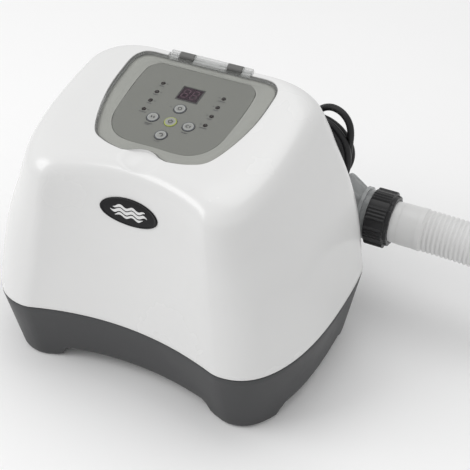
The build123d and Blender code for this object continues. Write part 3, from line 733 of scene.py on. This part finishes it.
def recess_half():
    """The recess edge with one point for each point of a level's outline."""
    spans = [(0.0, 0.24, front_steps), (0.24, 0.33, crease_steps), (0.33, 0.80, side_steps),
             (0.80, 0.89, flank_steps), (0.89, 1.0, corner_steps)]
    shares = [a + (b - a) * i / n for a, b, n in spans for i in range(n)]
    half = outline_half(lid_curve, shares, recess_gap)
    x_end, y_end = lid_curve[-1][0], lid_curve[-1][1] + recess_gap
    half += [(x_end + (rear_x[0] - x_end) * k / 3, y_end) for k in range(3)]
    return half + [(x, y_end) for x in rear_x]


def carve(p):
    """Sinks the finger recess and the hinge slot into the top of the shell."""
    x, t, h = from_panel(p)
    reach = hypot(x - dish_at[0], t - dish_at[1])
    if h > -12 and reach < 30:
        bowl = dish_at[2] - sqrt(dish_r**2 - reach**2)
        blend = 1.1
        gap = max(0.0, blend - abs(h - bowl)) / blend
        h = min(h, bowl) - gap * gap * blend / 4
    if t > slot_start and abs(x) < slot_half and h > slot_floor:
        h = slot_floor
    return on_panel(x, t, h)


def upper_shell():
    """The lower edge, the sides, the top in to the recess, and the recess wall with its ledge."""
    lower_edge = ((2.8, 6.0), (2.8, 0.5), (1.2, 0.3), (0.4, 0.5), (0.05, 1.4))
    sides_from = part_z + 3
    rows = [level_ring(housing_levels[0], inset, lift) for inset, lift in lower_edge]
    rows += [level_ring(level) for level in smooth_levels(housing_levels, 6)
             if level[0] > sides_from]
    top = [from_panel(p) for p in rows[-1]]
    recess = full_ring(recess_half())
    for share in (0.12, 0.25, 0.37, 0.49, 0.61, 0.73, 0.84, 0.93, 1.0):
        rows.append([on_panel(x + (rx - x) * share, t + (rt - t) * share,
                              h + (lid_face - h) * min(1, 3 * share))
                     for (x, t, h), (rx, rt) in zip(top, recess)])
    rows = [[carve(p) for p in row] for row in rows]
    middle_t = 20.0
    under_slot = -1.25
    for inward, h in ((0.35, lid_face - 0.15), (0.5, lid_face - 0.5), (0.5, -2.9), (8.0, -2.9)):
        row = []
        for x, t in recess:
            length = hypot(x, t - middle_t)
            scale = 1 - inward / length
            in_slot = t > slot_start and abs(x) < slot_half
            row.append(on_panel(x * scale, middle_t + (t - middle_t) * scale,
                                min(h, under_slot) if in_slot else h))
        rows.append(row)
    form = ([p for row in rows for p in row], grid_faces(len(rows), len(rows[0])))
    piece = add_piece("housing_shell", form, [shell_white], sharp=42)
    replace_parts(piece, "upper_shell")
    return piece


shell = upper_shell()


# -------------------------------- base tray with its feet
def step_up(value, low, high):
    """0 below low, 1 above high, and smooth between them."""
    f = max(0.0, min(1.0, (value - low) / (high - low)))
    return f * f * (3 - 2 * f)


def underside(x, y):
    """Height of the base's bottom edge: 0 on the feet, raised between them."""
    v = y - panel_y
    beside = step_up(abs(x), 80, 91)
    before = max(step_up(-v, 57, 67), step_up(v, 53, 63))
    raised = 15.0 + (12.0 - 15.0) * step_up(abs(x), 80, 120)
    return raised * (1 - beside * before)


def base_tray():
    """The inner lip, the sides down to the rounded bottom edge, and the underside."""
    low = level_ring(foot_level)
    high = level_ring(housing_levels[0])
    centre = Vector((0, panel_y, 0))

    def wall(j, z, inset=0.0):
        p = low[j].lerp(high[j], z / part_z)
        out = Vector((p.x - centre.x, p.y - centre.y, 0)).normalized()
        return Vector((p.x, p.y, z)) - out * inset

    bottoms = [underside(p.x, p.y) for p in low]
    columns = len(low)
    side_top = 78.2
    edge = 5.0
    lip = ((76.0, 3.4), (79.2, 3.4), (79.4, 1.4), (79.1, 0.5), (side_top, 0.0))
    rows = [[wall(j, z, inset) for j in range(columns)] for z, inset in lip]
    side_rows, edge_rows = 14, 5
    for i in range(side_rows):
        f = (i + 1) / side_rows
        rows.append([wall(j, side_top + (bottoms[j] + edge - side_top) * f)
                     for j in range(columns)])
    for i in range(1, edge_rows + 1):
        a = pi / 2 * i / edge_rows
        rows.append([wall(j, bottoms[j] + edge * (1 - sin(a)), edge * (1 - cos(a)))
                     for j in range(columns)])
    rim = rows[-1]
    for share in (0.94, 0.88, 0.81, 0.74, 0.66, 0.58, 0.50, 0.40, 0.25, 0.08):
        row = []
        for p in rim:
            x, y = p.x * share, panel_y + (p.y - panel_y) * share
            row.append(Vector((x, y, underside(x, y))))
        rows.append(row)
    points = [p for row in rows for p in row]
    faces = grid_faces(len(rows), columns)
    faces.append(tuple(range(len(points) - columns, len(points))))
    piece = add_piece("base_and_feet", (points, faces), [base_grey], sharp=50)
    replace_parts(piece, "base_tray", "base_feet")
    return piece


base = base_tray()


# -------------------------------- badge with a plain wave emblem
badge_lean = radians(8.0)
badge_out = Vector((0, -cos(badge_lean), sin(badge_lean)))
badge_up = Vector((0, sin(badge_lean), cos(badge_lean)))
badge_at = Vector((0, -73.4 + panel_y, 203.0))


def tree_of(piece):
    """A piece's surface, to be looked up along a line."""
    mesh = piece.data
    return BVHTree.FromPolygons([v.co / MM for v in mesh.vertices],
                                [tuple(p.vertices) for p in mesh.polygons])


def dropped(tree, x, w):
    """The point of a surface in front of the badge's place, seen along the badge's normal."""
    start = badge_at + Vector((x, 0, 0)) + badge_up * w + badge_out * 30
    hit = tree.ray_cast(start, -badge_out)[0]
    return hit if hit else badge_at + Vector((x, 0, 0)) + badge_up * w


def badge_plate():
    """An oval with a raised rim and a slightly crowned face, laid on the scoop."""
    tree = tree_of(shell)
    steps = 72
    rows = [(1.0, -0.4), (1.0, 0.7), (0.985, 1.15), (0.955, 1.3), (0.925, 1.15), (0.905, 0.85),
            (0.86, 0.95), (0.7, 1.2), (0.5, 1.35), (0.25, 1.42), (0.02, 1.45)]
    points = []
    for share, rise in rows:
        for a in angles(steps):
            p = dropped(tree, 29.6 * share * cos(a), 13.5 * share * sin(a))
            points.append(p + badge_out * rise)
    faces = grid_faces(len(rows), steps)
    faces.append(tuple(range(len(points) - steps, len(points))))
    piece = add_piece("badge_plate", (points, faces), [badge_black], sharp=60)
    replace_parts(piece, "badge")
    return piece


def badge_waves(plate):
    """Three waves laid on the plate."""
    tree = tree_of(plate)
    forms = []
    for rise, reach, wide in ((3.6, 16.5, 1.35), (-0.4, 19.0, 1.6), (-4.4, 14.5, 1.2)):
        count = 40
        points = []
        for i in range(count + 1):
            x = -reach + 2 * reach * i / count
            w = rise + 1.25 * sin(x * 2 * pi / 12.5)
            half = wide * min(1.0, 3.2 * (1 - abs(x) / reach) + 0.15)
            for side in (-half, half):
                points.append(dropped(tree, x, w + side) + badge_out * 0.06)
        faces = [(2 * i, 2 * i + 1, 2 * i + 3, 2 * i + 2) for i in range(count)]
        forms.append((points, faces))
    return add_piece("badge_waves", join_forms(forms), [badge_silver])


badge_waves(badge_plate())


# -------------------------------- control panel
def panel_bezel():
    """The frame round the membrane: a rounded outer edge, a gentle dip and a lip at the film."""
    count = 72
    outer = [on_panel(x, t, h) for grow, h in ((-0.6, -2.9), (-0.6, -0.6), (-1.1, 0.1), (-2.2, 0.3))
             for x, t in outline_ring(lid_curve, grow, count)]
    a = outline_ring(lid_curve, -2.2, count)
    b = outline_ring(panel_curve, 0.35, count)
    rows = [(0.18, 0.25), (0.34, -0.15), (0.52, -0.3), (0.70, -0.1), (0.84, 0.55), (0.93, 0.85),
            (0.985, 0.8), (1.0, 0.4), (1.0, 0.02)]
    points = outer
    for share, h in rows:
        points += [on_panel(ax + (bx - ax) * share, at + (bt - at) * share, h)
                   for (ax, at), (bx, bt) in zip(a, b)]
    form = (points, grid_faces(4 + len(rows), len(a)))
    piece = add_piece("panel_bezel", form, [bezel_grey])
    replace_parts(piece, "panel_frame")
    return piece


panel_bezel()

led_x = 31.9
led_t = [50.7, 38.1, 25.5, 12.9]
button_t = 5.6
button_pitch = 18.5
display_t = 44.9
panel_out = on_panel(0, 0, 1) - on_panel(0, 0, 0)


def indicator_lamps():
    """Eight domed lenses in two columns."""
    profile = [(-2.0, 2.2), (0.5, 2.2), (0.75, 2.1), (0.8, 1.85), (0.75, 1.7), (1.05, 1.5),
               (1.3, 1.1), (1.42, 0.6), (1.45, 0.0)]
    forms = [lathe_form(profile, on_panel(side * led_x, t, 0), panel_out, 28, closed=False)
             for side in (1, -1) for t in led_t]
    piece = add_piece("lamp_lenses", join_forms(forms), [lamp_dark])
    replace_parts(piece, "indicator_leds")


def display():
    """A dark window in its frame, with two unlit digits of seven bars."""
    def flat(x, t, h):
        return on_panel(x, display_t + t, h)

    form = box_form((-11.5, -9.6, -1.6), (11.5, 9.6, 0.75), flat, 0.7)
    frame_piece = add_piece("display_rim", form, [window_rim])
    form = box_form((-10.3, -8.4, 0.2), (10.3, 8.4, 0.95), flat, 0.5)
    window = add_piece("display_glass", form, [window_dark])
    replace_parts(frame_piece, "display_window")
    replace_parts(window, "display_window")
    lean = 0.12
    forms = []
    for centre in (-4.6, 4.6):
        wide, tall, thick = 5.4, 11.0, 1.0
        bars = [(0, tall / 2, wide, thick), (0, 0, wide, thick), (0, -tall / 2, wide, thick)]
        bars += [(sx * wide / 2, sy * tall / 4, thick, tall / 2 - 1.3)
                 for sx in (-1, 1) for sy in (-1, 1)]
        for x, t, w, d in bars:
            w, d = (w - 1.3, d) if w > d else (w, d)
            forms.append(([flat(centre + a + lean * b, b, 0.985)
                           for a, b in rectangle(x, t, w, d)], [(0, 1, 2, 3)]))
    add_piece("display_digits", join_forms(forms), [digit_dark])


def key(name, x, t, rim, ring):
    """One round key: a rim, a ring inside it and a slightly dished face."""
    profile = [(-4.6, 0.0), (-4.6, 7.4), (-3.4, 7.4), (-3.4, 6.0), (0.75, 6.0), (1.12, 5.9),
               (1.25, 5.6), (1.3, 4.95), (1.3, 4.0), (1.3, 3.6), (1.22, 3.4), (1.05, 2.0),
               (1.0, 0.0)]
    bands = {3: 0, 4: 0, 5: 0, 6: 0, 7: 1}
    piece = lathe("key_" + name, profile, on_panel(x, t, 0), panel_out,
                  [rim, ring, key_face], "button_" + name, steps=48, closed=False,
                  band=lambda i: bands.get(i, 2), sharp=60)
    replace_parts(piece, "button_" + name)


def bar(x, t, wide, tall, turn=0.0, h=0.62):
    """A small printed bar on the panel, turned by an angle."""
    c, s = cos(turn), sin(turn)
    return ([on_panel(x + a * c - b * s, t + a * s + b * c, h)
             for a, b in rectangle(0, 0, wide, tall)], [(0, 1, 2, 3)])


def arc_marks(x, t, radius, start, stop, wide, h):
    """A small printed arc on the panel, between two angles in degrees."""
    steps = 18
    points = []
    for i in range(steps + 1):
        a = radians(start + (stop - start) * i / steps)
        for r in (radius - wide / 2, radius + wide / 2):
            points.append(on_panel(x + r * cos(a), t + r * sin(a), h))
    return points, [(2 * i, 2 * i + 1, 2 * i + 3, 2 * i + 2) for i in range(steps)]


def legends():
    """Plain printed bars where the panel has its legends, without any letters."""
    forms = []
    for side in (1, -1):
        for number, t in enumerate(led_t):
            reach = 7.5 if number in (0, 3) and side > 0 or number == 3 else 5.0
            forms.append(bar(side * (led_x - 0.5), t - 4.0, reach, 0.8))
            forms.append(bar(side * (led_x - 4.6), t + 0.2, 2.0, 0.65))
    forms += [bar(-button_pitch, button_t - 8.6, 8.0, 0.8),
              bar(-button_pitch - 1.0, button_t - 10.2, 5.0, 0.7),
              bar(button_pitch, button_t - 8.4, 6.0, 0.8),
              bar(0, button_t - button_pitch - 8.2, 6.0, 0.5),
              bar(-9.6, button_t + button_pitch, 2.6, 0.5)]
    add_piece("panel_legends", join_forms(forms), [legend_grey])


def key_signs():
    """A small plain sign on each key, riding with it."""
    h = 1.34
    signs = {
        "centre": [arc_marks(0, button_t, 1.9, 120, 420, 0.8, h),
                   bar(0, button_t + 1.7, 0.8, 2.0, 0, h)],
        "up": [arc_marks(0, button_t + button_pitch, 1.7, 0, 360, 0.8, h)],
        "down": [arc_marks(0, button_t - button_pitch, 1.8, -60, 170, 0.8, h),
                 bar(1.3, button_t - button_pitch - 1.3, 1.6, 0.8, 0.6, h)],
        "left": [bar(-button_pitch - 1.3, button_t, 1.2, 2.2, 0.4, h),
                 bar(-button_pitch + 1.3, button_t, 1.2, 2.2, 0.4, h)],
        "right": [arc_marks(button_pitch - 0.9, button_t, 1.4, 60, 300, 0.7, h),
                  bar(button_pitch + 1.6, button_t, 1.0, 2.2, 0, h)],
    }
    for name, forms in signs.items():
        add_piece("sign_" + name, join_forms(forms), [legend_grey],
                  "button_" + name)


indicator_lamps()
display()
key("centre", 0, button_t, key_green, key_face)
for name, across, up in (("up", 0, 1), ("down", 0, -1), ("left", -1, 0), ("right", 1, 0)):
    key(name, across * button_pitch, button_t + up * button_pitch, key_line, key_ring)
legends()
key_signs()


# -------------------------------- lid
hinge_t = 90.3
hinge_h = 3.2
barrel_r = 3.9
barrel_spans = [(-43.0, -33.4), (-17.6, 17.6), (33.4, 43.0)]


def lid():
    """A clear plate with a rounded edge and a rim that reaches down into the recess."""
    count = 84
    rows = [(-1.6, 0.7), (-0.3, 0.7), (0.0, 1.0), (0.0, 3.2), (-0.35, 4.0), (-1.0, 4.4),
            (-2.0, 4.5), (-3.4, 4.5)]
    points, columns = outline_rows(rows, lid_curve, count)
    inner = [(-3.4, 2.6), (-2.3, 2.2), (-1.6, 1.4), (-1.6, 0.7)]
    flat_top = tuple(range(len(points) - columns, len(points)))
    faces = grid_faces(len(rows), columns)
    # Material 1 is the painted shade on the plate's rounded edge and the rim inside it; material 0 is
    # the clear plate.
    paint = [1] * (4 * columns) + [0] * (3 * columns)
    start = len(points)
    more, columns = outline_rows(inner, lid_curve, count)
    points += more
    faces += grid_faces(len(inner), columns, start)
    paint += [0] * columns + [1] * (2 * columns)
    faces += [flat_top, tuple(range(start + columns - 1, start - 1, -1))]
    paint += [0, 0]
    piece = add_piece("lid_cover", (points, faces), [lid_clear, lid_edge_painted_shade], "lid",
                      paint, sharp=70)
    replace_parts(piece, "lid")


def lid_barrels():
    """The hinge's three barrels and the webs that join them to the lid."""
    forms = []
    for x0, x1 in barrel_spans:
        length = x1 - x0
        profile = [(0, 1.55), (0, 3.4), (0.4, barrel_r), (length - 0.4, barrel_r), (length, 3.4),
                   (length, 1.55)]
        forms.append(lathe_form(profile, on_panel(x0, hinge_t, hinge_h), (1, 0, 0), 32))
        forms.append(box_form((x0 + 0.3, 83.4, 2.2), (x1 - 0.3, 89.6, 4.5),
                              on_panel, 0.5))
    add_piece("lid_barrels", join_forms(forms), [barrel_clear], "lid")


lid()
lid_barrels()


# -------------------------------- electrolytic cell and nuts
def cell_ribs(angle, distance):
    """Raised bars along the two cones."""
    wave = (angle * 8 / (2 * pi)) % 1.0
    on_rib = exp(-(((wave - 0.5) / 0.13) ** 4))
    if 124 < abs(distance) < 146.5:
        return 2.6 * on_rib
    return 0.0


def cell_shape():
    """The tube with a cone and a port at each end, and the turret of the flow switch."""
    outer = [(-173, 26), (-150.5, 26), (-150.5, 28.4), (-147, 28.4), (-146.6, 26.4), (-142, 27.0),
             (-131, 33.6), (-127, 35), (-122, 35), (-121, 34), (-60, 34), (0, 34), (60, 34),
             (121, 34), (122, 35), (127, 35), (131, 33.6), (142, 27.0), (146.6, 26.4),
             (147, 28.4), (150.5, 28.4), (150.5, 26), (173, 26)]
    inner = [(173, 21.5), (148, 21.5), (126, 31), (-126, 31), (-148, 21.5), (-173, 21.5)]
    tube = lathe_form(outer + inner, (0, cell_y, cell_z), (1, 0, 0), 144, ribs=cell_ribs)
    turret_profile = [(30, 8.1), (30, 12.4), (36, 12.0), (36.6, 11.2), (50.6, 11.0), (51, 10.6),
                      (51, 8.1)]
    turret = lathe_form(turret_profile, (-80.0, cell_y, cell_z), (0, 0, 1), 48)
    piece = add_piece("cell_body", join_forms([tube, turret]), [cell_grey])
    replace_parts(piece, "cell_housing")


nut_blocks = 8


def nut_ribs(angle, distance):
    """Groups of four fine ribs on raised blocks, with smooth gaps between them."""
    wave = (angle * nut_blocks / (2 * pi) + 0.3) % 1.0
    on_block = step_up(wave, 0.02, 0.06) * (1 - step_up(wave, 0.64, 0.68))
    fine = 0.5 + 0.5 * cos((wave - 0.11) / 0.16 * 2 * pi)
    if 1.2 < distance < 20.8:
        return on_block * (0.75 + 0.95 * fine)
    if 22.0 < distance:
        return -0.9 * (1 - on_block)
    return 0.0


def union_nut(side, name, body):
    """One nut; side is 1 for the right and -1 for the left."""
    length = nut_end - nut_start
    profile = [(0.0, 26.4), (0.0, 27.6), (0.6, 28.1), (1.3, 28.2), (2.6, 28.2), (20.2, 28.2),
               (20.7, 28.2), (21.2, 27.9), (21.6, 27.0), (22.2, 26.9), (24.4, 26.6), (25.0, 26.1),
               (length, 22.9), (length - 0.4, 22.4), (length - 3.1, 22.4), (length - 3.1, 26.4)]
    return lathe(name, profile, (side * nut_start, cell_y, cell_z), (side, 0, 0),
                 [nut_black], body, steps=384, ribs=nut_ribs, sharp=30)


cell_shape()
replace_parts(union_nut(1, "nut_ring_right", "nut_right"), "union_nut_right")
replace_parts(union_nut(-1, "nut_ring_left", "nut_left"), "union_nut_left")


# -------------------------------- CAD parts that stay
finishes = [
    (steel, ["shell_screws", "board_screws", "hinge_pins", "saddle_screws", "transformer",
             "plug_pins"]),
    (dark_plastic, ["display_module", "key_switches", "flow_switch", "flow_paddle", "cell_socket",
                    "board_standoffs", "terminal_block"]),
    (board_green, ["control_board", "power_board"]), (film_grey, ["panel_membrane"]),
    (hinge_grey, ["hinge_brackets"]), (titanium, ["electrode_plates"]),
    (cell_grey, ["plate_combs"]), (base_grey, ["cell_saddles"]),
    (gasket_black, ["port_gaskets"]), (aluminium, ["heat_sink"]),
]
for material, nodes in finishes:
    for node in nodes:
        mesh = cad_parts[node].data
        mesh.materials.clear()
        mesh.materials.append(material)


# -------------------------------- floor and light
def add_floor():
    mesh = bpy.data.meshes.new("floor")
    size = 6.0
    mesh.from_pydata([(-size, -size, 0), (size, -size, 0), (size, size, 0), (-size, size, 0)], [],
                     [(0, 1, 2, 3)])
    floor = bpy.data.objects.new("floor", mesh)
    floor.location.z = -0.0002
    material = moulded("floor_white", (0.93, 0.93, 0.93), 0.9, shade=0.004, patch=3, grain=300,
                       grain_depth=0.01)
    mesh.materials.append(material)
    scene.collection.objects.link(floor)


def add_area(name, place, aim, size, power):
    data = bpy.data.lights.new(name, "AREA")
    data.shape = "RECTANGLE"
    data.size, data.size_y = size
    data.energy = power
    lamp = bpy.data.objects.new(name, data)
    lamp.location = place
    lamp.rotation_euler = (Vector(aim) - Vector(place)).to_track_quat("-Z", "Y").to_euler()
    scene.collection.objects.link(lamp)


add_floor()
add_area("key_light", (-1.25, -1.0, 1.5), (0, 0, 0.12), (1.2, 1.0), 14)
add_area("top_light", (0.1, 0.5, 1.9), (0, 0, 0.1), (1.6, 1.2), 7.5)
add_area("side_light", (1.5, -0.5, 1.0), (0, 0, 0.15), (0.7, 1.0), 0.6)

world = bpy.data.worlds.new("studio")
world.use_nodes = True
world.node_tree.nodes["Background"].inputs["Color"].default_value = (1.0, 1.0, 1.0, 1.0)
world.node_tree.nodes["Background"].inputs["Strength"].default_value = 0.68
scene.world = world
scene.view_settings.view_transform = "Standard"
